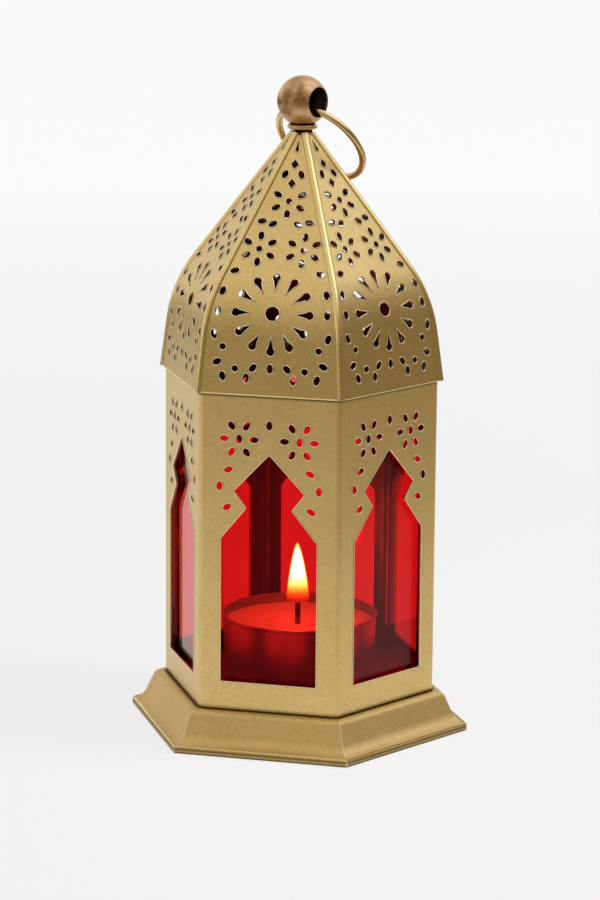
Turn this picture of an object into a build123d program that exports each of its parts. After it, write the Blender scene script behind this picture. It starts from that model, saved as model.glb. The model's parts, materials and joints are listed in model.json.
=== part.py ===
from build123d import *
import os
from math import asin, atan, cos, degrees, radians, sin, tan

# Hexagonal fanous lantern of pierced sheet metal: a flared base, six glazed walls, a lift-off dome of
# six petals, a ball finial with a carrying ring, and a tealight.
# Millimetres. +Z is up, the origin lies on the floor under the middle, the front wall faces -Y.

# Shared values
sides = 6
sheet = 0.5  # pressed sheet of the base, the walls and the dome
slip_clearance = 0.2  # between sheet pieces that slip into each other
solder_gap = 0.05  # room for solder between pieces of one assembly
cut_overrun = 2.0  # how far every cut runs past the metal

# Base
base_height = 10.05  # floor to deck
base_flare = 5.55  # shoulder to the outside of the lip
shoulder_ledge = 2.1  # walls to shoulder
shoulder_radius = 2.0
waist_reach_share = 0.604  # how far the waist lies from the shoulder to the lip, outwards
waist_drop_share = 0.876  # and downwards
waist_radius = 4.5
deck_ledge = 5.8  # inside of the walls to the opening of the deck
lip_height = 2.0
lip_width = 1.5
lip_corner_radius = 0.58

# Walls
wall_radius = 35.2  # middle to corner, outside
wall_height = 81.2
wall_corner_radius = 1.8

# Keel-arched window, the heights of its head as shares of the wall's height
window_half_width = 12.2
window_neck_half_width = 5.8
window_tip_half_width = 9.0
window_sill = 7.2  # foot of the wall to the sill
window_shoulder_share = 0.538
window_neck_share = 0.6355
window_tip_share = 0.686
window_apex_share = 0.803
window_corner_radius = 0.5

# Punched holes of the walls, places as shares of the wall's half width and height
oval_length = 2.5
oval_width = 1.75
wall_flower_radius = 3.75
wall_flower_ovals = 6
wall_flower_shares = (0.43, 0.846)
wall_top_oval_shares = (0, 0.892)
wall_trail_shares = [(0.583, 0.751, 155), (0.709, 0.699, 90), (0.6, 0.635, 150)]  # across, up, turn

# Glass panes and the strips that hold them
glass = 2.0
pane_stand_off = 1.0  # wall to glass
pane_head_gap = 5.4  # pane to the top of the walls
pane_edge_gap = 0.75  # pane edge to the corner where neighbouring panes would meet
strip_leg = 1.4
strip_web = 0.8

# Candle floor and tealight
tray_height = 2.8
cup_radius = 19.0
cup_foot_radius = 18.5
cup_height = 15.0
cup_wall = 0.35
cup_bead_radius = 0.4
wax_drop = 2.2  # rim to wax
wax_dip = 0.6  # hollow of the melt pool
wick_radius = 0.7
wick_stand = 5.2  # wick above the wax
sustainer_radius = 6.0
sustainer_height = 3.0
sustainer_sheet = 0.4
sustainer_neck_radius = 1.3

# Dome
lid_overlap = 1.45  # rim below the top of the walls
dome_height = 61.1
dome_top_apothem = 1.9
dome_knee_height = 21.3
dome_knee_share = 0.913  # knee over rim, middle to flat
dome_bend_radius = 33.0
rib_radius = 0.95
rib_proud = 0.3  # rib above the corner of the petals
seat_sheet = 0.8
seat_ledge = 4.3  # inside of the walls to the opening of the seat ring

# Punched holes of a petal, places as shares of the rim's half width and of the petal's length
rosette_up_share = 0.29
rosette_hole_radius = 1.85
rosette_inner_radius = 5.4
rosette_outer_radius = 10.3
rosette_drop_radius = 1.1  # round end of a drop
rosette_drops = 12
petal_flower_radius = 3.5
petal_flower_shares = (0.305, 0.53)
petal_crown_up_share = 0.718
petal_oval_shares = [  # across, up, turn from upright; each with its mirror image
    (0.59, 0.442, 75), (0.715, 0.364, 20), (0.75, 0.293, 0), (0.785, 0.21, -15), (0.73, 0.114, 65),
    (0.65, 0.065, -15), (0.235, 0.098, 45), (0.325, 0.061, 0), (0.172, 0.628, 60), (0.325, 0.637, 80),
    (0.113, 0.823, 25),
]
petal_round_shares = [(0.66, 0.168), (0.48, 0.093)]
petal_row_up_share = 0.097
petal_rhomb_up_shares = [0.787, 0.863]
petal_tear_up_shares = (0.912, 0.957)
round_radius = 0.9
rhomb_length = 3.0
rhomb_width = 2.3
rhomb_corner_radius = 0.3
tear_radius = 0.6

# Finial and carrying ring
collar_radius = 3.05
collar_wire_radius = 0.65
ball_radius = 6.25
ball_wall = 0.6
bore_radius = 3.75
stud_radius = 1.1
stud_head_radius = 2.0
stud_head_height = 0.7
ring_radius = 11.9
ring_wire_radius = 0.85
ring_turn = 65.0  # bore direction, from -Y towards +X
ring_seat_gap = 0.3  # ring to dome, and ring to the edge of the bore

# Worked out from the sizes above
half_angle = 180 / sides
corner_cos = cos(radians(half_angle))
corner_tan = tan(radians(half_angle))
wall_apothem = wall_radius * corner_cos
wall_inner_apothem = wall_apothem - sheet
shoulder_apothem = wall_apothem + shoulder_ledge
base_apothem = shoulder_apothem + base_flare
lip_apothem = base_apothem - lip_width / 2  # middle of the lip
waist_apothem = shoulder_apothem + waist_reach_share * (lip_apothem - shoulder_apothem)
waist_height = base_height - waist_drop_share * (base_height - lip_height)
deck_opening_apothem = wall_inner_apothem - deck_ledge
wall_top = base_height + wall_height
tray_top = base_height + tray_height
pane_apothem = wall_inner_apothem - pane_stand_off
pane_inner_apothem = pane_apothem - glass
pane_height = wall_top - pane_head_gap - tray_top
rim_height = wall_top - lid_overlap
dome_top = rim_height + dome_height
# The skirt leans in, so that the sheet clears the top edge of the walls by the slip clearance.
skirt_slope_share = (1 - dome_knee_share) * wall_apothem / dome_knee_height
skirt_lean = atan(skirt_slope_share)
rim_apothem = wall_apothem + slip_clearance + sheet / cos(skirt_lean) + lid_overlap * skirt_slope_share
knee_apothem = rim_apothem - skirt_slope_share * dome_knee_height
rim_half_width = rim_apothem * corner_tan
knee_height = rim_height + dome_knee_height
petal_line = [(rim_apothem, rim_height), (knee_apothem, knee_height), (dome_top_apothem, dome_top)]
collar_height = dome_top + solder_gap + collar_wire_radius
ball_seat_reach = ball_radius + collar_wire_radius + solder_gap  # middle of the ball to the collar's wire
ball_height = collar_height + (ball_seat_reach**2 - collar_radius**2) ** 0.5
total_height = ball_height + ball_radius

# The front wall's profile plane: first direction out from the axis, second up.
profile_plane = Plane(origin=(0, 0, 0), x_dir=(0, -1, 0), z_dir=(-1, 0, 0))


def hexagon(radius, corner_radius=0):
    """A six-sided outline with its corners on the X axis, rounded where a radius is given."""
    with BuildSketch() as outline:
        RegularPolygon(radius, sides)
        if corner_radius > 0:
            fillet(outline.vertices(), corner_radius)
    return outline.sketch


def front_sector(reach):
    """The sixth of the plan that belongs to the front wall, between its two mitre lines."""
    with BuildSketch() as sector:
        Polygon((0, 0), (-reach * corner_tan, -reach), (reach * corner_tan, -reach), align=None)
    return sector.sketch


def mitred(profile, reach):
    """A wall profile run along the front and cut by the two mitre planes."""
    with BuildPart() as run:
        extrude(profile, amount=reach, both=True)
        with BuildSketch():
            add(front_sector(2 * reach))
        extrude(amount=total_height, mode=Mode.INTERSECT)
    return run.part


def turned(piece, step):
    """A copy of a front piece, moved on by whole walls."""
    return piece.rotate(Axis.Z, step * 2 * half_angle)


def save(piece, name):
    piece.label = name
    export_step(piece, f"parts/{name}.step")


os.makedirs("parts", exist_ok=True)
around = ["front", "front_right", "back_right", "back", "back_left", "front_left"]
corners = ["right_front", "right", "right_back", "left_back", "left", "left_front"]

# Base skirt: deck, flare that hollows out towards the foot, and rolled lip
with BuildSketch(profile_plane) as skirt_profile:
    with BuildLine():
        FilletPolyline(
            (deck_opening_apothem, base_height),
            (shoulder_apothem, base_height),
            (waist_apothem, waist_height),
            (lip_apothem, lip_height),
            radius=[shoulder_radius, waist_radius],
        )
        offset(amount=sheet, side=Side.RIGHT)
    make_face()
    with Locations((lip_apothem, lip_height / 2)):
        RectangleRounded(lip_width, lip_height, lip_corner_radius)
skirt_side = mitred(skirt_profile.sketch, base_apothem)
with BuildPart() as base_skirt:
    for step in range(sides):
        add(turned(skirt_side, step))
save(base_skirt.part, "base_skirt")

# Candle floor: a raised tray with a turned-down edge, inside the walls
tray_apothem = wall_inner_apothem - slip_clearance
tray_corner_radius = wall_corner_radius - sheet - slip_clearance
with BuildPart() as candle_floor:
    with BuildSketch(Plane.XY.offset(base_height)):
        add(hexagon(tray_apothem / corner_cos, tray_corner_radius))
    extrude(amount=tray_height)
    with BuildSketch(Plane.XY.offset(base_height)):
        add(hexagon((tray_apothem - sheet) / corner_cos))
    extrude(amount=tray_height - sheet, mode=Mode.SUBTRACT)
save(candle_floor.part, "candle_floor")

# One wall with its window and its punched flowers
wall_half_width = wall_apothem * corner_tan
wall_face = Plane.XZ.offset(wall_apothem)
window_right = [
    (window_tip_half_width, base_height + window_tip_share * wall_height),
    (window_neck_half_width, base_height + window_neck_share * wall_height),
    (window_half_width, base_height + window_shoulder_share * wall_height),
    (window_half_width, base_height + window_sill),
]
window_left = [(-across, up) for across, up in reversed(window_right)]


def wall_place(across_share, up_share):
    return (across_share * wall_half_width, base_height + up_share * wall_height)


with BuildPart() as wall_panel:
    with BuildSketch(Plane.XY.offset(base_height)):
        add(hexagon(wall_radius, wall_corner_radius))
        add(hexagon(wall_inner_apothem / corner_cos, wall_corner_radius - sheet), mode=Mode.SUBTRACT)
        add(front_sector(2 * wall_radius), mode=Mode.INTERSECT)
    extrude(amount=wall_height)
    with BuildSketch(wall_face) as window:
        Polygon((0, base_height + window_apex_share * wall_height), *window_right, *window_left, align=None)
        fillet(window.vertices(), window_corner_radius)
    extrude(amount=sheet + cut_overrun, both=True, mode=Mode.SUBTRACT)
    with BuildSketch(wall_face):
        with Locations(wall_place(*wall_top_oval_shares)):
            Ellipse(oval_width / 2, oval_length / 2)
        for side in (-1, 1):
            flower_across, flower_up = wall_flower_shares
            with Locations(wall_place(side * flower_across, flower_up)):
                Ellipse(oval_width / 2, oval_length / 2)
                with PolarLocations(wall_flower_radius, wall_flower_ovals):
                    Ellipse(oval_length / 2, oval_width / 2)
            for across, up, turn in wall_trail_shares:
                with Locations(wall_place(side * across, up)):
                    Ellipse(oval_length / 2, oval_width / 2, rotation=side * turn)
    extrude(amount=sheet + cut_overrun, both=True, mode=Mode.SUBTRACT)

# Glass pane behind the front wall
pane_half_width = pane_inner_apothem * corner_tan - pane_edge_gap
with BuildPart() as glass_pane:
    with BuildSketch(Plane.XZ.offset(pane_inner_apothem)):
        with Locations((0, tray_top + pane_height / 2)):
            Rectangle(2 * pane_half_width, pane_height)
    extrude(amount=glass)

# Corner strip at the +X corner: two legs on the panes and a web soldered into the corner of the walls
strip_tip = pane_inner_apothem / corner_cos
leg_angle = radians(90 + half_angle)
leg_x = strip_tip + strip_leg * cos(leg_angle)
leg_y = strip_leg * sin(leg_angle)
leg_end = (leg_x, leg_y)
leg_end_inside = (leg_x - sheet * corner_cos, leg_y - sheet * sin(radians(half_angle)))
web_reach = (wall_inner_apothem - wall_corner_radius + sheet) / corner_cos + wall_corner_radius - sheet
with BuildPart() as corner_strip:
    with BuildSketch(Plane.XY.offset(tray_top)):
        Polygon(
            (strip_tip, 0),
            leg_end,
            leg_end_inside,
            (strip_tip - sheet / corner_cos, 0),
            (leg_end_inside[0], -leg_end_inside[1]),
            (leg_end[0], -leg_end[1]),
            align=None,
        )
        web_start = strip_tip - sheet
        web_length = web_reach - 2 * solder_gap - web_start
        with Locations((web_start + web_length / 2, 0)):
            Rectangle(web_length, strip_web)
    extrude(amount=pane_height)

for step in range(sides):
    save(turned(wall_panel.part, step), f"wall_{around[step]}")
    save(turned(glass_pane.part, step), f"glass_{around[step]}")
    save(turned(corner_strip.part, step - 1), f"corner_strip_{corners[step]}")

# Tealight
cup_top = tray_top + cup_height
wax_level = cup_top - wax_drop
with BuildPart() as tealight_cup:
    with BuildSketch(Plane.XZ):
        Polygon(
            (0, tray_top),
            (cup_foot_radius, tray_top),
            (cup_radius, cup_top),
            (cup_radius - cup_wall, cup_top),
            (cup_foot_radius - cup_wall, tray_top + cup_wall),
            (0, tray_top + cup_wall),
            align=None,
        )
        with Locations((cup_radius - cup_wall / 2, cup_top)):
            Circle(cup_bead_radius)
    revolve(axis=Axis.Z)
save(tealight_cup.part, "tealight_cup")

sustainer_foot = tray_top + cup_wall
with BuildPart() as wick_sustainer:
    with BuildSketch(Plane.XY.offset(sustainer_foot)):
        Circle(sustainer_radius)
    extrude(amount=sustainer_sheet)
    with BuildSketch(Plane.XY.offset(sustainer_foot)):
        Circle(sustainer_neck_radius)
    extrude(amount=sustainer_height)
    with BuildSketch(Plane.XY.offset(sustainer_foot + sustainer_sheet)):
        Circle(wick_radius)
    extrude(amount=sustainer_height, mode=Mode.SUBTRACT)
save(wick_sustainer.part, "wick_sustainer")

with BuildPart() as wick:
    with BuildSketch(Plane.XY.offset(sustainer_foot + sustainer_sheet)):
        Circle(wick_radius)
    extrude(amount=wax_level + wick_stand - sustainer_foot - sustainer_sheet)
    fillet(wick.edges().sort_by(Axis.Z)[-1], wick_radius / 2)
save(wick.part, "wick")

# The wax fills the cup up to its level: the cup's inner wall at a height follows its taper.
wax_share = (wax_level - sustainer_foot) / (cup_top - sustainer_foot)
wax_radius = cup_foot_radius - cup_wall + wax_share * (cup_radius - cup_foot_radius)
pool_reach = wax_radius / 2
pool_middle = (pool_reach, wax_level - wax_dip * (1 - (pool_reach / wax_radius) ** 2))
with BuildPart() as wax:
    with BuildSketch(Plane.XZ):
        with BuildLine():
            Polyline(
                (0, wax_level - wax_dip),
                (0, sustainer_foot),
                (cup_foot_radius - cup_wall, sustainer_foot),
                (wax_radius, wax_level),
            )
            ThreePointArc((wax_radius, wax_level), pool_middle, (0, wax_level - wax_dip))
        make_face()
    revolve(axis=Axis.Z)
    add(wick_sustainer.part, mode=Mode.SUBTRACT)
    add(wick.part, mode=Mode.SUBTRACT)
save(wax.part, "wax")

# Dome petal: the sheet bends once, so its holes are placed on the flat sheet and carried onto the bend
with BuildLine(profile_plane) as petal_curve:
    FilletPolyline(*petal_line, radius=dome_bend_radius)
petal_wire = petal_curve.wire()
petal_length = petal_wire.length


def petal_plane(across, up, turn=0):
    """The plane on the petal's outside at a place of the flat sheet, turned in that plane."""
    spot = petal_wire.position_at(up, position_mode=PositionMode.LENGTH) + Vector(across, 0, 0)
    rise = petal_wire.tangent_at(up, position_mode=PositionMode.LENGTH)
    outward = Vector(1, 0, 0).cross(rise)
    along = Vector(1, 0, 0) * cos(radians(turn)) + rise * sin(radians(turn))
    return Plane(origin=spot, x_dir=along, z_dir=outward)


def share_plane(across_share, up_share, turn=0):
    return petal_plane(across_share * rim_half_width, up_share * petal_length, turn)


def flower_planes(across_share, up_share, radius, angles):
    """Planes of a flower's ovals, each with its length towards the flower's middle."""
    planes = []
    for angle in angles:
        across = across_share * rim_half_width + radius * cos(radians(angle))
        up = up_share * petal_length + radius * sin(radians(angle))
        planes.append(petal_plane(across, up, angle - 90))
    return planes


oval_planes = [share_plane(0, petal_row_up_share)]
flower_across, flower_up = petal_flower_shares
round_planes = []
for side in (-1, 1):
    oval_planes += [share_plane(side * across, up, side * turn) for across, up, turn in petal_oval_shares]
    oval_planes += flower_planes(side * flower_across, flower_up, petal_flower_radius, range(30, 390, 60))
    round_planes += [share_plane(side * across, up) for across, up in petal_round_shares]
    round_planes.append(share_plane(side * flower_across, flower_up))
oval_planes += flower_planes(0, petal_crown_up_share, petal_flower_radius, (30, 150, 210, 270, 330))
round_planes.append(share_plane(0, petal_crown_up_share))
drop_reach = (rosette_inner_radius + rosette_outer_radius) / 2
drop_angles = [360 / rosette_drops * drop for drop in range(rosette_drops)]
drop_planes = flower_planes(0, rosette_up_share, drop_reach, drop_angles)
drop_half = (rosette_outer_radius - rosette_inner_radius) / 2
punch_depth = sheet + cut_overrun / 2
tear_low, tear_high = (share * petal_length for share in petal_tear_up_shares)


def drop_outline(half_length, radius):
    """A teardrop about its own middle, pointed below and round above."""
    with BuildSketch() as drop:
        centre = half_length - radius
        lean = asin(radius / (half_length + centre))
        edge = (radius * cos(lean), centre + radius * sin(lean))
        with Locations((0, centre)):
            Circle(radius)
        Polygon((0, -half_length), edge, (-edge[0], edge[1]), align=None)
    return drop.sketch


with BuildPart() as dome_petal:
    with BuildSketch(profile_plane):
        with BuildLine():
            FilletPolyline(*petal_line, radius=dome_bend_radius)
            offset(amount=sheet, side=Side.LEFT)
        make_face()
    extrude(amount=rim_apothem, both=True)
    with BuildSketch():
        add(front_sector(2 * rim_apothem))
    extrude(amount=total_height, mode=Mode.INTERSECT)
    with BuildSketch(share_plane(0, rosette_up_share)):
        Circle(rosette_hole_radius)
    extrude(amount=punch_depth, both=True, mode=Mode.SUBTRACT)
    with BuildSketch(*drop_planes):
        add(drop_outline(drop_half, rosette_drop_radius))
    extrude(amount=punch_depth, both=True, mode=Mode.SUBTRACT)
    with BuildSketch(*oval_planes):
        Ellipse(oval_width / 2, oval_length / 2)
    extrude(amount=punch_depth, both=True, mode=Mode.SUBTRACT)
    with BuildSketch(*round_planes):
        Circle(round_radius)
    extrude(amount=punch_depth, both=True, mode=Mode.SUBTRACT)
    with BuildSketch(*[share_plane(0, up) for up in petal_rhomb_up_shares]) as rhomb:
        half_width = rhomb_width / 2
        half_length = rhomb_length / 2
        Polygon((half_width, 0), (0, half_length), (-half_width, 0), (0, -half_length), align=None)
        fillet(rhomb.vertices(), rhomb_corner_radius)
    extrude(amount=punch_depth, both=True, mode=Mode.SUBTRACT)
    with BuildSketch(petal_plane(0, (tear_low + tear_high) / 2, 180)):
        add(drop_outline((tear_high - tear_low) / 2, tear_radius))
    extrude(amount=punch_depth, both=True, mode=Mode.SUBTRACT)

# Rib: a round bead laid along the corner between two petals, cut to sit on them
ridge_line = [(apothem / corner_cos, height) for apothem, height in petal_line]
rib_inset = rib_radius - rib_proud
rib_end_share = 1 - rib_radius / (dome_top - knee_height)
rib_end = tuple(low + rib_end_share * (high - low) for low, high in zip(ridge_line[1], ridge_line[2]))
rib_line = [(reach - rib_inset, height) for reach, height in (ridge_line[0], ridge_line[1], rib_end)]
with BuildSketch(profile_plane) as core_profile:
    with BuildLine():
        FilletPolyline(*petal_line, radius=dome_bend_radius)
        Polyline(petal_line[2], (0, dome_top), (0, rim_height - cut_overrun))
        Polyline((0, rim_height - cut_overrun), (rim_apothem, rim_height - cut_overrun), petal_line[0])
    make_face()
core_side = mitred(core_profile.sketch, rim_apothem)
with BuildPart() as dome_rib:
    with BuildLine(Plane.XZ) as rib_path:
        FilletPolyline(*rib_line, radius=dome_bend_radius)
    with BuildSketch(Plane(origin=rib_path.line @ 0, z_dir=rib_path.line % 0)):
        Circle(rib_radius)
    sweep(path=rib_path.line)
    add(turned(core_side, 1), mode=Mode.SUBTRACT)
    add(turned(core_side, 2), mode=Mode.SUBTRACT)

for step in range(sides):
    save(turned(dome_petal.part, step), f"dome_petal_{around[step]}")
    save(turned(dome_rib.part, step - 1), f"dome_rib_{corners[step]}")

# Seat ring inside the rim: a flat hexagon that rests on the top edges of the walls
seat_rise = wall_top + seat_sheet - rim_height
seat_apothem = rim_apothem - sheet / cos(skirt_lean) - skirt_slope_share * seat_rise - solder_gap
with BuildPart() as seat_ring:
    with BuildSketch(Plane.XY.offset(wall_top)):
        add(hexagon(seat_apothem / corner_cos))
        add(hexagon((wall_inner_apothem - seat_ledge) / corner_cos), mode=Mode.SUBTRACT)
    extrude(amount=seat_sheet)
save(seat_ring.part, "seat_ring")

# Finial: wire collar, hollow ball and the stud that holds them on the dome
with BuildPart(Plane.XY.offset(collar_height)) as neck_collar:
    Torus(collar_radius, collar_wire_radius)
save(neck_collar.part, "neck_collar")

ring_axis = Vector(sin(radians(ring_turn)), -cos(radians(ring_turn)), 0)
with BuildPart(Plane.XY.offset(ball_height)) as finial_ball:
    Sphere(ball_radius)
    Sphere(ball_radius - ball_wall, mode=Mode.SUBTRACT)
    with BuildSketch(Plane.XY.offset(ball_height)):
        Circle(stud_radius + solder_gap)
    extrude(amount=-ball_radius, mode=Mode.SUBTRACT)
    with BuildSketch(Plane(origin=(0, 0, ball_height), z_dir=ring_axis)):
        Circle(bore_radius)
    extrude(amount=ball_radius, both=True, mode=Mode.SUBTRACT)
save(finial_ball.part, "finial_ball")

upper_head = ball_height - ((ball_radius - ball_wall) ** 2 - stud_head_radius**2) ** 0.5 + solder_gap
cone_slope_share = (knee_apothem - dome_top_apothem) / (dome_top - knee_height)
inner_top_apothem = dome_top_apothem - sheet / cos(atan(cone_slope_share))
lower_head = dome_top - (stud_head_radius + 2 * solder_gap - inner_top_apothem) / cone_slope_share
with BuildPart() as finial_stud:
    with BuildSketch(Plane.XY.offset(lower_head - stud_head_height)):
        Circle(stud_head_radius)
    extrude(amount=stud_head_height)
    with BuildSketch(Plane.XY.offset(lower_head)):
        Circle(stud_radius)
    extrude(amount=upper_head - lower_head)
    with BuildSketch(Plane.XY.offset(upper_head)):
        Circle(stud_head_radius)
    extrude(amount=stud_head_height)
save(finial_stud.part, "finial_stud")

# Carrying ring: hangs in the bore and leans on the ridge of the dome
# At the edge of the bore the wire slants, so it takes up more than its radius there.
bore_edge = (ball_radius**2 - bore_radius**2) ** 0.5
wire_drop = ring_radius - (ring_radius**2 - bore_edge**2) ** 0.5
wire_half_height = ring_wire_radius / cos(asin(bore_edge / ring_radius))
ridge_lean = atan(cone_slope_share / corner_cos)
bore_reach = (bore_radius**2 - (wire_drop * sin(ridge_lean)) ** 2) ** 0.5
pivot_height = ball_height - bore_reach + wire_half_height + ring_seat_gap + wire_drop * cos(ridge_lean)
ring_apex = dome_top + dome_top_apothem / cone_slope_share
ring_stand = ring_wire_radius + ring_seat_gap + rib_radius - rib_inset * cos(ridge_lean)
ring_lean = ridge_lean + asin((ring_stand - (pivot_height - ring_apex) * sin(ridge_lean)) / (2 * ring_radius))
lean_direction = Vector(0, 0, 1).cross(ring_axis)
ring_down = lean_direction * sin(ring_lean) - Vector(0, 0, 1) * cos(ring_lean)
ring_centre = Vector(0, 0, pivot_height) + ring_down * ring_radius
with BuildPart(Plane(origin=ring_centre, x_dir=ring_axis, z_dir=ring_axis.cross(ring_down))) as carrying_ring:
    Torus(ring_radius, ring_wire_radius)
save(carrying_ring.part, "carrying_ring")

print(f"wall top {wall_top:.2f}, rim {rim_height:.2f} at {rim_apothem:.2f}, knee {knee_apothem:.2f}")
print(f"dome top {dome_top:.2f}, ball {ball_height:.2f}, whole height {total_height:.2f}")
print(f"petal length {petal_length:.2f}, ring pivot {pivot_height:.3f}, ring lean {degrees(ring_lean):.2f}")
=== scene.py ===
import json
import math

import bmesh
import bpy
from mathutils import Matrix, Vector

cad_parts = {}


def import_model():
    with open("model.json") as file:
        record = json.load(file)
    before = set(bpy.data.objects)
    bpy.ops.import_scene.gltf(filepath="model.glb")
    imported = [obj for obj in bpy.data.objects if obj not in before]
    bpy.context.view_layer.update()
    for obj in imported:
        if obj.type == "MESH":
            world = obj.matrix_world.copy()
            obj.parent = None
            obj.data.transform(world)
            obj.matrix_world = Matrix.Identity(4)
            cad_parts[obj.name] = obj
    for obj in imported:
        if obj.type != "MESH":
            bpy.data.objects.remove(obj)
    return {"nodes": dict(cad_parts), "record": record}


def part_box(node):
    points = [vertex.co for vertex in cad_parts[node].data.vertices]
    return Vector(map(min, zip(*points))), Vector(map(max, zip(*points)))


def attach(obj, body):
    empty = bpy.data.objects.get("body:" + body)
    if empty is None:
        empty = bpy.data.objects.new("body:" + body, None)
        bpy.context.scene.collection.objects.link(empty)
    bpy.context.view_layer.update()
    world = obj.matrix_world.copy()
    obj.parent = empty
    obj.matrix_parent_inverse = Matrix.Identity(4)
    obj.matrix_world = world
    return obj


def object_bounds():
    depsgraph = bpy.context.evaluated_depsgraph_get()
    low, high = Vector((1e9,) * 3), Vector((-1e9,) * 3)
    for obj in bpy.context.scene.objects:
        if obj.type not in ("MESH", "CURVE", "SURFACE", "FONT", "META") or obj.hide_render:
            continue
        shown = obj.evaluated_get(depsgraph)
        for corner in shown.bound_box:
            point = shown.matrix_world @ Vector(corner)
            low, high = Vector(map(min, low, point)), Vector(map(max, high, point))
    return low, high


# Looks of a hexagonal fanous lantern: antique gold sheet, red glass, an aged ball finial and a lit tealight.
# Metres, in the frame of the solids: +Z is up and the front wall faces -Y.

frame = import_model()
nodes = frame["nodes"]
cad_low, cad_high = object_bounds()
MM = 0.001
around = ["front", "front_right", "back_right", "back", "back_left", "front_left"]

# Places read from the solids
rim_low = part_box("dome_petal_front")[0]
ball_low, ball_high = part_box("finial_ball")
ball_middle = (ball_low + ball_high) / 2
wick_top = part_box("wick")[1].z
wax_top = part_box("wax")[1].z

# Camera
camera_place = Vector((0.20344, -0.81569, 0.25755))
camera_azimuth = math.radians(14.0)
camera_pitch = math.radians(12.58)
camera_roll = math.radians(0.47)
camera_lens = 137.15  # on a 36 mm sensor along the longer side

# Flame
flame_radius = 2.9 * MM
flame_height = 19.2 * MM
flame_sink = 3.8 * MM  # foot of the flame below the top of the wick
flame_low = wick_top - flame_sink
flame_top = flame_low + flame_height
flame_swell, flame_taper = 0.12, 0.67  # powers of its outline at the foot and at the tip
flame_sway = 0.25 * MM  # of the tip, to the left
flame_sides = 24
flame_steps = 28

# Beads along edges of the sheet
bead_sides = 6
hole_bead_radius = 0.15 * MM
hem_radius = 0.2 * MM
lip_bead_radius = 0.28 * MM
lip_bead_inset = 1.1 * lip_bead_radius  # of its middle, from the outline of the base
lip_bead_drop = 0.5 * lip_bead_radius  # of its middle, from the top of the lip
lip_height = 2.0 * MM  # foot of the base

# Bands of painted shade, as heights where they start, are full, still full and end
painted_shade_tone = 0.35
lip_groove_shade = [0.84 * MM, 1.08 * MM, 1.48 * MM, 1.68 * MM]
rim_shadow = [rim_low.z + step * MM for step in (-0.7, -0.3, 1.2, 1.4)]  # on the walls, from the dome's rim

# Gold sheets, as light and deep tone and roughness
gold_look = (0.745, 0.535, 0.215), (0.70, 0.495, 0.19), 0.36
base_look = (0.64, 0.45, 0.175), (0.60, 0.415, 0.155), 0.52
# The rib and burr golds are paler copies of the gold, painting highlights on ribs, beads and hole edges
rib_highlight_look = (0.80, 0.60, 0.27), (0.75, 0.55, 0.23), 0.24
burr_highlight_look = (0.92, 0.78, 0.50), (0.88, 0.72, 0.44), 0.30

# Other metals, as pale, middle and dark tone and roughness
inner_look = (0.40, 0.27, 0.13), (0.32, 0.20, 0.10), (0.23, 0.14, 0.065), 0.48
strip_look = (0.24, 0.155, 0.075), (0.18, 0.11, 0.053), (0.13, 0.078, 0.036), 0.5
aged_look = (0.74, 0.49, 0.26), (0.62, 0.38, 0.185), (0.26, 0.125, 0.045), 0.36
wire_look = (0.80, 0.58, 0.30), (0.72, 0.50, 0.24), (0.58, 0.38, 0.16), 0.17
tin_look = (0.72, 0.72, 0.71), (0.60, 0.60, 0.60), (0.48, 0.48, 0.48), 0.35

# Other tones and values of surfaces
# Painted light: a highlight on sharp edges, then shade in grooves and on inner faces of sheet, ball and cup
edge_highlight_gold = (0.90, 0.74, 0.44)
groove_shade_brown = (0.09, 0.055, 0.025)
inside_shade_brown = (0.12, 0.066, 0.034)
inside_shade_black = (0.012, 0.007, 0.004)
inside_foil_shade = (0.30, 0.28, 0.26)
noise_middle = (0.3, 0.7)  # values of a noise between which most of it lies
roughness_change = (-0.05, 0.06)  # of a metal, along its grain
wax_radius = 19 * MM
char_length = 5 * MM  # of the wick, from its top

# Floor
floor_half_side = 6.0
floor_drop = 0.05 * MM
floor_tone = (0.86, 0.86, 0.86)
floor_glow_shares = (0.80, 0.95)  # of plain white, near the lantern and far off; the rest is lit and shaded
floor_glow_reach = (0.25, 0.95)  # from the axis
floor_bright_middle = (-0.25, 0.12, 0)  # brightest place of its mirror image
floor_fade = (0.39, 0.61)  # from that place, where the image falls off
floor_far = 0.27  # brightness of the image beyond

# Studio. Its sides go by the x or y of a direction, from where they start to where they are full
right_side = (0.25, 0.75)  # of x
left_side = (-0.3, -0.7)  # of x
back_side = (0.45, 0.85)  # of y
backdrop_tone = (0.945, 0.945, 0.945)
studio_strength = 0.55  # of its light on matt faces
warm_powers = (1, 1.15, 1.55)  # of a brightness, for the red, green and blue of a warm tone

# Soft box that only the metal mirrors
soft_box_direction = (0.55, 0.08, 0.83)
soft_box_cosines = (0.86, 0.96)  # of the angles from its middle, where it starts and where it is full
soft_box_colour = (0.85, 1.0, 1.4)
soft_box_strength = 1.1


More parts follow.
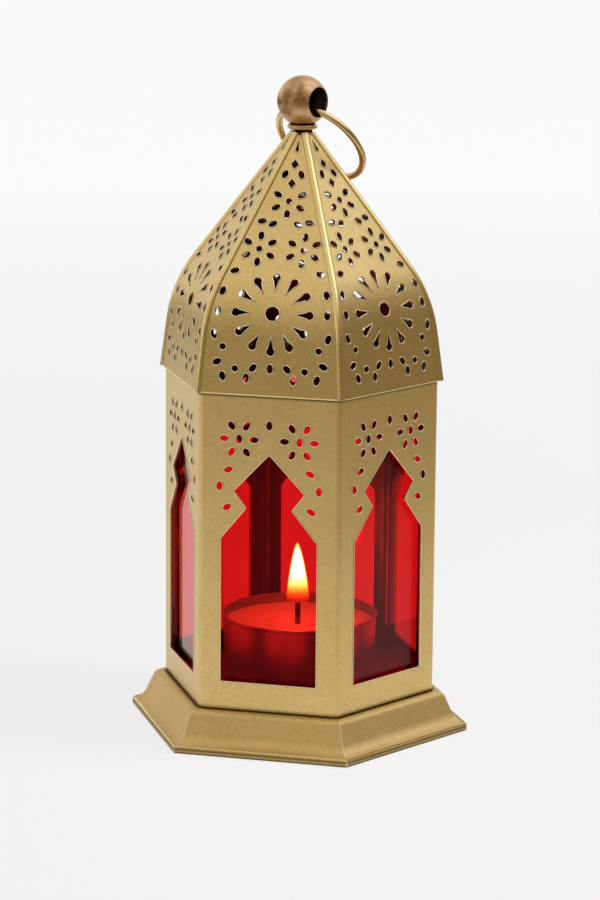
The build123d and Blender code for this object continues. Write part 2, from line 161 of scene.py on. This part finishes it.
class Tree:
    """The node tree of a material or a world, with short calls for the nodes used here."""

    def __init__(self, owner):
        owner.use_nodes = True
        self.owner = owner
        self.nodes = owner.node_tree.nodes
        self.links = owner.node_tree.links
        self.shader = self.nodes.get("Principled BSDF")
        self.output = next(node for node in self.nodes if "Output" in node.bl_idname)

    def feed(self, socket, value):
        """Links a source to a socket, or sets a plain number, vector or colour on it."""
        if isinstance(value, bpy.types.NodeSocket):
            self.links.new(value, socket)
        elif socket.type == "RGBA":
            socket.default_value = (*value, 1.0)
        else:
            socket.default_value = value

    def add(self, kind, inputs=None, **settings):
        """A new node with its settings, and with inputs fed by name or number."""
        node = self.nodes.new("ShaderNode" + kind)
        for name, value in settings.items():
            setattr(node, name, value)
        for socket, value in (inputs or {}).items():
            self.feed(node.inputs[socket], value)
        return node

    def set(self, **values):
        """Sources or plain values for the Principled shader, with _ for a blank in a socket's name."""
        for name, value in values.items():
            self.feed(self.shader.inputs[name.replace("_", " ")], value)

    def surface(self, shader):
        """Makes a shader the last one of the tree."""
        self.links.new(shader, self.output.inputs["Surface"])

    def place(self, kind="Object"):
        if "Texture Coordinate" not in self.nodes:
            self.add("TexCoord")
        return self.nodes["Texture Coordinate"].outputs[kind]

    def normal(self):
        return self.add("NewGeometry").outputs["Normal"]

    def number_step(self, kind, *sources):
        return self.add("Math", dict(enumerate(sources)), operation=kind).outputs["Value"]

    def vector_step(self, kind, *sources):
        """Arithmetic with vectors. A distance or a dot product is a number, the rest are vectors."""
        node = self.add("VectorMath", dict(enumerate(sources)), operation=kind)
        return node.outputs["Value" if kind in ("DISTANCE", "DOT_PRODUCT") else "Vector"]

    def span(self, source, low, high, first=0.0, last=1.0):
        """The value first where the source is low, last where it is high, straight between."""
        inputs = {"Value": source, "From Min": low, "From Max": high, "To Min": first, "To Max": last}
        return self.add("MapRange", inputs).outputs["Result"]

    def height(self, low, high):
        """0 at one height, 1 at another, straight between."""
        split = self.add("SeparateXYZ", {"Vector": self.place()})
        return self.span(split.outputs["Z"], low, high)

    def noise(self, size, detail=2.0, roughness=0.5, stretch=(1, 1, 1)):
        """Noise whose features measure about size, drawn out along an axis where stretch is below 1."""
        spread = self.add("Mapping", {"Vector": self.place(), "Scale": stretch})
        inputs = {
            "Vector": spread.outputs["Vector"],
            "Scale": 1 / size,
            "Detail": detail,
            "Roughness": roughness,
        }
        return self.add("TexNoise", inputs).outputs["Fac"]

    def ramp(self, source, *stops):
        """Values or colours along a source, from (place, value or colour) stops."""
        node = self.add("ValToRGB", {"Fac": source})
        elements = node.color_ramp.elements
        while len(elements) < len(stops):
            elements.new(1.0)
        for element, (place, value) in zip(elements, stops):
            element.position = place
            colour = (value,) * 3 if isinstance(value, (int, float)) else value
            element.color = (*colour, 1.0)
        return node.outputs["Color"]

    def vary(self, noise, low, high):
        """Values or colours from low to high over the middle of a noise."""
        return self.ramp(noise, *zip(noise_middle, (low, high)))

    def blend(self, first, second, share, kind="MIX"):
        """A colour mixed from two sources or plain colours."""
        inputs = {0: share, 6: first, 7: second}
        return self.add("Mix", inputs, data_type="RGBA", blend_type=kind).outputs[2]

    def times(self, colour, factor, share=1.0):
        return self.blend(colour, factor, share, "MULTIPLY")

    def mix_shaders(self, first, second, share):
        return self.add("MixShader", {0: share, 1: first, 2: second}).outputs["Shader"]

    def bump(self, height, depth, strength=1.0):
        node = self.add("Bump", {"Height": height, "Distance": depth, "Strength": strength})
        self.set(Normal=node.outputs["Normal"])

    def satin(self, colour, grain, roughness, depth):
        """A metal of a colour, with its roughness and bump along a grain."""
        low, high = (roughness + change for change in roughness_change)
        self.set(Base_Color=colour, Roughness=self.vary(grain, low, high), Metallic=1.0)
        self.bump(grain, depth)

    def painted_edge_highlight(self, radius):
        """1 on sharp edges, 0 on open faces: where a rounded normal leaves the true one."""
        rounded = self.add("Bevel", {"Radius": radius}, samples=4)
        match = self.vector_step("DOT_PRODUCT", rounded.outputs["Normal"], self.normal())
        return self.ramp(match, (0.86, 1.0), (0.99, 0.0))

    def recess(self, reach):
        """1 in the open, lower in grooves and corners within reach."""
        return self.add("AmbientOcclusion", {"Distance": reach}, samples=8).outputs["AO"]

    def outside(self, limits, middle=(0, 0, 0), spread=(1, 1, 0)):
        """0 on inner faces, which look at the axis or, with a full spread, at the middle; 1 on the others."""
        apart = self.vector_step("SUBTRACT", self.place(), middle)
        away = self.vector_step("NORMALIZE", self.vector_step("MULTIPLY", apart, spread))
        return self.span(self.vector_step("DOT_PRODUCT", self.normal(), away), *limits)

    def painted_shade_band(self, heights):
        """1, and darker between the heights of a band of painted shade."""
        low, high = heights[0], heights[-1]
        shares = [(height - low) / (high - low) for height in heights]
        return self.ramp(self.height(low, high), *zip(shares, (1.0, painted_shade_tone, painted_shade_tone, 1.0)))


def material_tree(name):
    return Tree(bpy.data.materials.new(name))


def sheet_gold(
    name,
    light,
    deep,
    roughness,
    edge_highlight_radius=None,
    grain_depth=0.008 * MM,
    speckle=(0.88, 1.08),
    line=None,
    groove_reach=1.7 * MM,
):
    """Antique gold sheet: even satin colour and fine grain, with painted shade in grooves and on inner faces,
    and where asked a band of painted shade and a painted highlight on sharp edges.
    """
    tree = material_tree(name)
    mottle = tree.noise(1.1 * MM, detail=3.0, roughness=0.6)
    grain = tree.noise(0.24 * MM, detail=3.0, roughness=0.7)
    colour = tree.vary(tree.noise(16 * MM), deep, light)
    colour = tree.times(colour, tree.vary(mottle, 0.92, 1.05))
    colour = tree.times(colour, tree.vary(grain, *speckle))
    # painted shade in grooves and corners, by ambient occlusion
    colour = tree.times(colour, tree.ramp(tree.recess(groove_reach), (0.58, groove_shade_brown), (0.86, 1.0)))
    # a band of painted shade, at the base's lip or on the walls under the dome's rim
    if line:
        colour = tree.times(colour, tree.painted_shade_band(line))
    # a paler painted highlight on sharp edges
    if edge_highlight_radius:
        colour = tree.blend(colour, edge_highlight_gold, tree.painted_edge_highlight(edge_highlight_radius))
    # inner faces painted dark brown, as shade
    colour = tree.blend(inside_shade_brown, colour, tree.outside((-0.68, -0.5)))
    tree.satin(colour, grain, roughness, grain_depth)
    return tree.owner


def metal(name, pale, mid, dark, roughness, depth=0.01 * MM, hollow=None):
    """A worn metal: patches of tone, fine grain and painted shade in grooves. The inside of a hollow is
    painted dark, as shade.
    """
    tree = material_tree(name)
    patches = tree.noise(6 * MM, detail=3.0, roughness=0.55)
    grain = tree.noise(0.3 * MM, detail=3.0, roughness=0.65)
    colour = tree.ramp(patches, (0.34, dark), (0.5, mid), (0.66, pale))
    colour = tree.times(colour, tree.vary(grain, 0.84, 1.08))
    # painted shade in grooves and corners, by ambient occlusion
    colour = tree.times(colour, tree.ramp(tree.recess(1.6 * MM), (0.25, 0.3), (0.75, 1.0)))
    if hollow:
        # the inside of the hollow painted near black, as shade
        colour = tree.blend(inside_shade_black, colour, tree.outside((-0.95, -0.75), hollow, (1, 1, 1)))
    tree.satin(colour, grain, roughness, depth)
    return tree.owner


def red_glass():
    """Clear red glass, a little uneven as drawn sheet is, with a red sheen where it is looked at squarely."""
    tree = material_tree("red_glass")
    wave = tree.noise(22 * MM, detail=1.0)
    haze = tree.noise(6 * MM, detail=3.0)
    tree.set(
        Base_Color=tree.vary(wave, (0.84, 0.070, 0.078), (0.88, 0.085, 0.092)),
        Roughness=tree.ramp(haze, (0.35, 0.0), (0.75, 0.02)),
        Transmission_Weight=1.0,
        IOR=1.5,
        Specular_Tint=(0.55, 0.06, 0.06),
    )
    tree.bump(wave, 0.04 * MM)
    return tree.owner


def candle_wax():
    """Cream paraffin with a shiny melt pool round the wick, and a painted glow of the flame's light,
    brightest round the wick.
    """
    tree = material_tree("candle_wax")
    distance = tree.vector_step("DISTANCE", tree.place(), (0, 0, wax_top))
    reach = tree.number_step("DIVIDE", distance, wax_radius)
    cloud = tree.noise(5 * MM, detail=4.0)
    cream = tree.vary(cloud, (0.92, 0.78, 0.60), (0.96, 0.87, 0.72))
    pool = tree.number_step("MULTIPLY", tree.ramp(reach, (0.55, 1.0), (0.68, 0.0)), 0.15)
    tree.set(
        Base_Color=tree.blend(cream, (0.72, 0.58, 0.40), pool),
        Roughness=tree.ramp(reach, (0.3, 0.22), (0.9, 0.42)),
        Subsurface_Weight=0.4,
        Subsurface_Scale=4 * MM,
        Coat_Weight=0.2,
        # a painted glow of the flame's light, brightest round the wick
        Emission_Color=tree.ramp(
            reach, (0.0, (0.55, 0.24, 0.10)), (0.5, (0.42, 0.18, 0.075)), (1.0, (0.22, 0.09, 0.035))
        ),
        Emission_Strength=1.0,
    )
    tree.bump(cloud, 0.15 * MM, 0.4)
    return tree.owner


def foil():
    """Thin pressed aluminium with drawing marks running up the side, and its inner side painted darker as
    shade.
    """
    tree = material_tree("cup_aluminium")
    marks = tree.noise(1.1 * MM, detail=1.0, stretch=(1, 1, 0.08))
    bright = tree.vary(tree.noise(6 * MM, detail=3.0), (0.66, 0.65, 0.64), (0.82, 0.81, 0.80))
    tree.set(
        # the inner side painted darker, as shade
        Base_Color=tree.blend(inside_foil_shade, bright, tree.outside((-0.6, -0.3))),
        Roughness=tree.vary(marks, 0.38, 0.46),
        Metallic=1.0,
    )
    tree.bump(marks, 0.006 * MM)
    return tree.owner


def charred_cotton():
    """Braided cotton, pale at the foot and black above."""
    tree = material_tree("wick_cotton")
    thread = tree.noise(0.3 * MM)
    height = tree.height(wick_top - char_length, wick_top)
    char = tree.ramp(height, (0.0, (0.30, 0.24, 0.17)), (0.35, (0.035, 0.027, 0.022)))
    tree.set(
        Base_Color=tree.times(char, tree.vary(thread, 0.4, 1.0), 0.7),
        Roughness=tree.vary(thread, 0.8, 0.95),
    )
    tree.bump(thread, 0.1 * MM)
    return tree.owner


def flame_layer(name, strength, colours, cover):
    """A glowing layer of the flame: colours up its height, and how much it covers there."""
    tree = material_tree(name)
    height = tree.height(flame_low, flame_top)
    glow = tree.add("Emission", {"Color": tree.ramp(height, *colours), "Strength": strength})
    clear = tree.add("BsdfTransparent")
    share = tree.ramp(height, *cover)
    tree.surface(tree.mix_shaders(clear.outputs["BSDF"], glow.outputs["Emission"], share))
    return tree.owner


def dress(node, material):
    """Gives a solid of the frame one material."""
    slots = nodes[node].data.materials
    slots.clear()
    slots.append(material)


def piece(name, bm, material, body, smooth=True):
    """A new mesh piece that rides on a body."""
    mesh = bpy.data.meshes.new(name)
    bmesh.ops.recalc_face_normals(bm, faces=bm.faces)
    bm.to_mesh(mesh)
    bm.free()
    for face in mesh.polygons:
        face.use_smooth = smooth
    mesh.materials.append(material)
    made = bpy.data.objects.new(name, mesh)
    bpy.context.scene.collection.objects.link(made)
    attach(made, body)
    return made


def add_tube(bm, points, outward, radius):
    """A closed round bead along points; outward gives the sheet's normal at each."""
    count = len(points)
    rings = []
    for i, point in enumerate(points):
        along = (points[(i + 1) % count] - points[i - 1]).normalized()
        across = along.cross(outward[i]).normalized()
        up = across.cross(along)
        ring = []
        for k in range(bead_sides):
            turn = 2 * math.pi * k / bead_sides
            ring.append(bm.verts.new(point + radius * (math.cos(turn) * across + math.sin(turn) * up)))
        rings.append(ring)
    for i, ring in enumerate(rings):
        after = rings[(i + 1) % count]
        for k in range(bead_sides):
            j = (k + 1) % bead_sides
            bm.faces.new((ring[k], ring[j], after[j], after[k]))


def cut_loops(node, facing):
    """The edges of a panel's holes on its outside, as closed rows of (point, normal)."""
    weld = 0.002 * MM
    least_facing = 0.5  # of an outer face's normal, along the panel's own
    most_alike = 0.4  # of the two normals at a cut edge
    least_points = 5  # of a hole's outline
    most_height = 0.95  # of a hole, as a share of the panel's; a higher outline is the panel's own
    bm = bmesh.new()
    bm.from_mesh(nodes[node].data)
    bmesh.ops.remove_doubles(bm, verts=bm.verts, dist=weld)
    bm.normal_update()
    normal_at, ahead = {}, {}
    for edge in bm.edges:
        if len(edge.link_faces) != 2:
            continue
        faces = sorted(edge.link_faces, key=lambda face: face.normal.dot(facing))
        inner, outer = faces[0].normal, faces[1].normal
        if outer.dot(facing) < least_facing or abs(inner.dot(outer)) > most_alike:
            continue
        for vert, other in (edge.verts, reversed(edge.verts)):
            ahead.setdefault(vert, []).append(other)
            normal_at[vert] = outer.copy()
    low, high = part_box(node)
    loops, used = [], set()
    for start in ahead:
        if start in used:
            continue
        row, vert = [], start
        while vert is not None:
            used.add(vert)
            row.append(vert)
            vert = next((other for other in ahead[vert] if other not in used), None)
        heights = [v.co.z for v in row]
        if len(row) >= least_points and max(heights) - min(heights) < most_height * (high.z - low.z):
            loops.append([(v.co.copy(), normal_at[v]) for v in row])
    bm.free()
    return loops


def hole_beads(node, facing, body):
    """A burr round every punched hole of a panel, in a paler gold that paints a highlight on it."""
    bm = bmesh.new()
    for loop in cut_loops(node, facing):
        points, normals = zip(*loop)
        add_tube(bm, points, normals, hole_bead_radius)
    piece(f"{node}_hole_edges", bm, burr_highlight_gold, body)


def hexagon_bead(name, apothem, height, radius, body):
    """A thin bead round the lantern in the paler rib gold, a painted highlight, with its middle at an apothem
    and a height.
    """
    reach = apothem / math.cos(math.pi / 6)
    corners = [Vector((math.cos(a), math.sin(a), 0)) for a in (math.pi / 3 * k for k in range(6))]
    bm = bmesh.new()
    points = [reach * corner + Vector((0, 0, height)) for corner in corners]
    add_tube(bm, points, [Vector((0, 0, 1))] * len(points), radius)
    piece(name, bm, rib_highlight_gold, body, smooth=False)


def flame(name, material, radius_share, foot_gap, tip_gap):
    """A turned drop, round below and drawn to a point above. The gaps are shares of the flame's height."""
    low = flame_low + foot_gap * flame_height
    high = flame_top - tip_gap * flame_height
    widest = flame_swell / (flame_swell + flame_taper)
    scale = widest**flame_swell * (1 - widest) ** flame_taper
    bm = bmesh.new()
    rings = []
    for i in range(1, flame_steps):
        t = i / flame_steps
        radius = radius_share * flame_radius * t**flame_swell * (1 - t) ** flame_taper / scale
        height = low + t * (high - low)
        sway = flame_sway * t * t
        ring = []
        for k in range(flame_sides):
            turn = 2 * math.pi * k / flame_sides
            ring.append(bm.verts.new((radius * math.cos(turn) - sway, radius * math.sin(turn), height)))
        rings.append(ring)
    foot = bm.verts.new((0, 0, low))
    tip = bm.verts.new((-flame_sway, 0, high))
    for k in range(flame_sides):
        j = (k + 1) % flame_sides
        bm.faces.new((foot, rings[0][j], rings[0][k]))
        bm.faces.new((tip, rings[-1][k], rings[-1][j]))
        for lower, upper in zip(rings, rings[1:]):
            bm.faces.new((lower[k], lower[j], upper[j], upper[k]))
    return piece(name, bm, material, "tealight")


# Materials of the solids, by slot and, where they differ, by how the node's name starts
burr_highlight_gold = sheet_gold("gold_burr_highlight", *burr_highlight_look)
rib_highlight_gold = sheet_gold(
    "gold_rib_highlight",
    *rib_highlight_look,
    grain_depth=0.002 * MM,
    speckle=(0.96, 1.03),
    groove_reach=0.4 * MM,
)
finish_of = {
    "gold_sheet": sheet_gold("gold_sheet", *gold_look),
    "inner_sheet": metal("inner_sheet", *inner_look),
    "red_glass": red_glass(),
    "aged_brass": metal("aged_brass", *aged_look),
    "ring_wire": metal("ring_wire", *wire_look, depth=0.004 * MM),
    "cup_aluminium": foil(),
    "candle_wax": candle_wax(),
    "wick_cotton": charred_cotton(),
    "tinned_steel": metal("tinned_steel", *tin_look),
}
own_finish = {
    # painted highlight on the base's edges and painted shade at its lip; painted shadow on the walls under
    # the dome's rim
    "base_skirt": sheet_gold("gold_base", *base_look, edge_highlight_radius=0.6 * MM, line=lip_groove_shade),
    "wall_": sheet_gold("gold_wall", *gold_look, line=rim_shadow),
    "corner_strip": metal("strip_sheet", *strip_look),
    "dome_rib": rib_highlight_gold,
    "finial_ball": metal("ball_brass", *aged_look, hollow=ball_middle),
}
for part in frame["record"]["subparts"]:
    own = [finish for start, finish in own_finish.items() if part["node"].startswith(start)]
    dress(part["node"], own[0] if own else finish_of[part["material_slot"]])

# Edges of the sheet
for step, name in enumerate(around):
    turn = math.radians(60 * step - 90)  # the front faces -Y
    facing = Vector((math.cos(turn), math.sin(turn), 0))
    hole_beads(f"wall_{name}", facing, "lantern_body")
    hole_beads(f"dome_petal_{name}", facing, "dome_lid")
rim_apothem = -rim_low.y
hexagon_bead("dome_rim_hem", rim_apothem - hem_radius / 2, rim_low.z + hem_radius, hem_radius, "dome_lid")
hexagon_bead(
    "base_lip_bead",
    cad_high.y - lip_bead_inset,
    lip_height - lip_bead_drop,
    lip_bead_radius,
    "lantern_body",
)

# Flame in three layers
orange = flame_layer(
    "flame_orange",
    27.0,
    colours=((0.0, (1.0, 0.10, 0.005)), (0.28, (1.0, 0.18, 0.01)), (0.5, (1.0, 0.36, 0.03))),
    cover=((0.14, 0.0), (0.20, 0.004), (0.27, 0.02), (0.34, 0.10), (0.44, 0.4), (1.0, 0.35)),
)
yellow = flame_layer(
    "flame_yellow",
    18.0,
    colours=((0.28, (1.0, 0.28, 0.0)), (0.42, (1.0, 0.70, 0.06)), (0.55, (1.0, 0.95, 0.35))),
    cover=((0.26, 0.0), (0.34, 0.08), (0.44, 0.7), (1.0, 0.5)),
)
white = flame_layer(
    "flame_white",
    45.0,
    colours=((0.4, (1.0, 0.80, 0.25)), (0.6, (1.0, 0.95, 1.0))),
    cover=((0.40, 0.0), (0.58, 1.0)),
)
flame("flame_outer", orange, radius_share=1.0, foot_gap=0.0, tip_gap=0.0)
flame_inside = [
    flame("flame_middle", yellow, radius_share=0.95, foot_gap=0.01, tip_gap=0.02),
    flame("flame_core", white, radius_share=0.86, foot_gap=0.02, tip_gap=0.05),
]
for layer in flame_inside:
    layer.visible_diffuse = False  # the orange skin alone lights the candle


def camera():
    """The photograph's view."""
    data = bpy.data.cameras.new("camera")
    data.lens = camera_lens
    made = bpy.data.objects.new("camera", data)
    bpy.context.scene.collection.objects.link(made)
    ahead = Vector((
        -math.sin(camera_azimuth) * math.cos(camera_pitch),
        math.cos(camera_azimuth) * math.cos(camera_pitch),
        -math.sin(camera_pitch),
    ))
    right = ahead.cross(Vector((0, 0, 1))).normalized()
    up = right.cross(ahead)
    tilted_right = right * math.cos(camera_roll) + up * math.sin(camera_roll)
    tilted_up = up * math.cos(camera_roll) - right * math.sin(camera_roll)
    turn = Matrix((tilted_right, tilted_up, -ahead)).transposed()
    made.matrix_world = Matrix.Translation(camera_place) @ turn.to_4x4()
    bpy.context.scene.camera = made


def lamp(name, place, size, power):
    """A soft square lamp aimed at the middle of the lantern. The metal mirrors the studio, not the lamp."""
    data = bpy.data.lights.new(name, "AREA")
    data.size = size
    data.energy = power
    made = bpy.data.objects.new(name, data)
    made.location = place
    made.visible_glossy = False
    aim = Vector((0, 0, (cad_low.z + cad_high.z) / 2)) - Vector(place)
    made.rotation_euler = aim.to_track_quat("-Z", "Y").to_euler()
    bpy.context.scene.collection.objects.link(made)


def warm(*stops):
    """Colour stops from stops of (place, brightness), warmer where they are darker."""
    return [(place, [value**power for power in warm_powers]) for place, value in stops]


def floor():
    """A pale floor that shows the shadow. Its image in the metal fades away from a bright place."""
    bm = bmesh.new()
    bmesh.ops.create_grid(bm, x_segments=8, y_segments=8, size=floor_half_side)
    mesh = bpy.data.meshes.new("floor")
    bm.to_mesh(mesh)
    bm.free()
    made = bpy.data.objects.new("floor", mesh)
    made.location.z = cad_low.z - floor_drop
    bpy.context.scene.collection.objects.link(made)
    tree = material_tree("floor")
    tree.set(Base_Color=floor_tone, Roughness=0.9, Specular_IOR_Level=0.1)
    ray = tree.add("LightPath").outputs
    image_reach = tree.vector_step("DISTANCE", tree.place(), floor_bright_middle)
    reach = tree.vector_step("DISTANCE", tree.place(), (0, 0, 0))
    faded = tree.number_step("MULTIPLY", tree.span(image_reach, *floor_fade), ray["Is Glossy Ray"])
    tones = tree.ramp(faded, *warm((0.0, 1.0), (1.0, floor_far)))
    glow = tree.add("Emission", {"Color": tones})
    plain = tree.number_step("MAXIMUM", ray["Is Camera Ray"], ray["Is Glossy Ray"])
    plain = tree.number_step("MAXIMUM", plain, ray["Is Transmission Ray"])
    glow_share = tree.span(reach, *floor_glow_reach, *floor_glow_shares)
    share = tree.number_step("MULTIPLY", plain, glow_share)
    tree.surface(tree.mix_shaders(tree.shader.outputs["BSDF"], glow.outputs["Emission"], share))
    mesh.materials.append(tree.owner)


def world():
    """A white studio. In the metal its front and right are darker low down, and a soft box shines."""
    made = bpy.data.worlds.new("studio")
    bpy.context.scene.world = made
    tree = Tree(made)
    lit = tree.nodes["Background"]
    lit.inputs["Strength"].default_value = studio_strength
    direction = tree.place("Generated")
    x, y, z = tree.add("SeparateXYZ", {"Vector": direction}).outputs
    front_tones = warm((0.0, 0.29), (0.12, 0.31), (0.48, 0.66), (0.62, 0.84), (0.85, 0.92), (1.0, 1.0))
    right_tones = warm((0.0, 0.22), (0.25, 0.26), (0.46, 0.38), (0.62, 1.0), (0.85, 1.0), (1.0, 1.0))
    back_tones = warm((0.0, 1.0), (0.2, 1.0), (0.5, 0.75), (1.0, 1.0))
    front, right, back = (tree.ramp(z, *tones) for tones in (front_tones, right_tones, back_tones))
    room = tree.blend(front, right, tree.span(x, *right_side))
    behind = tree.number_step("MAXIMUM", tree.span(y, *back_side), tree.span(x, *left_side))
    mirrored = tree.add("Background", {"Color": tree.blend(room, back, behind)})
    facing = tree.vector_step("DOT_PRODUCT", direction, soft_box_direction)
    box_share = tree.span(facing, *soft_box_cosines, 0.0, soft_box_strength)
    soft_box = tree.add("Background", {"Color": soft_box_colour, "Strength": box_share})
    studio = tree.add("AddShader", {0: mirrored.outputs["Background"], 1: soft_box.outputs["Background"]})
    seen = tree.add("Background", {"Color": backdrop_tone})
    ray = tree.add("LightPath").outputs
    first = tree.mix_shaders(lit.outputs["Background"], studio.outputs["Shader"], ray["Is Glossy Ray"])
    plain = tree.number_step("MAXIMUM", ray["Is Camera Ray"], ray["Is Transmission Ray"])
    tree.surface(tree.mix_shaders(first, seen.outputs["Background"], plain))


camera()
lamp("key_right", place=(0.80, 0.05, 0.60), size=0.5, power=6.0)
lamp("fill_left", place=(-0.75, -0.35, 0.55), size=0.6, power=0.9)
lamp("overhead", place=(0.0, -0.1, 1.0), size=0.7, power=1.5)
floor()
world()
bpy.context.scene.view_settings.view_transform = "Standard"
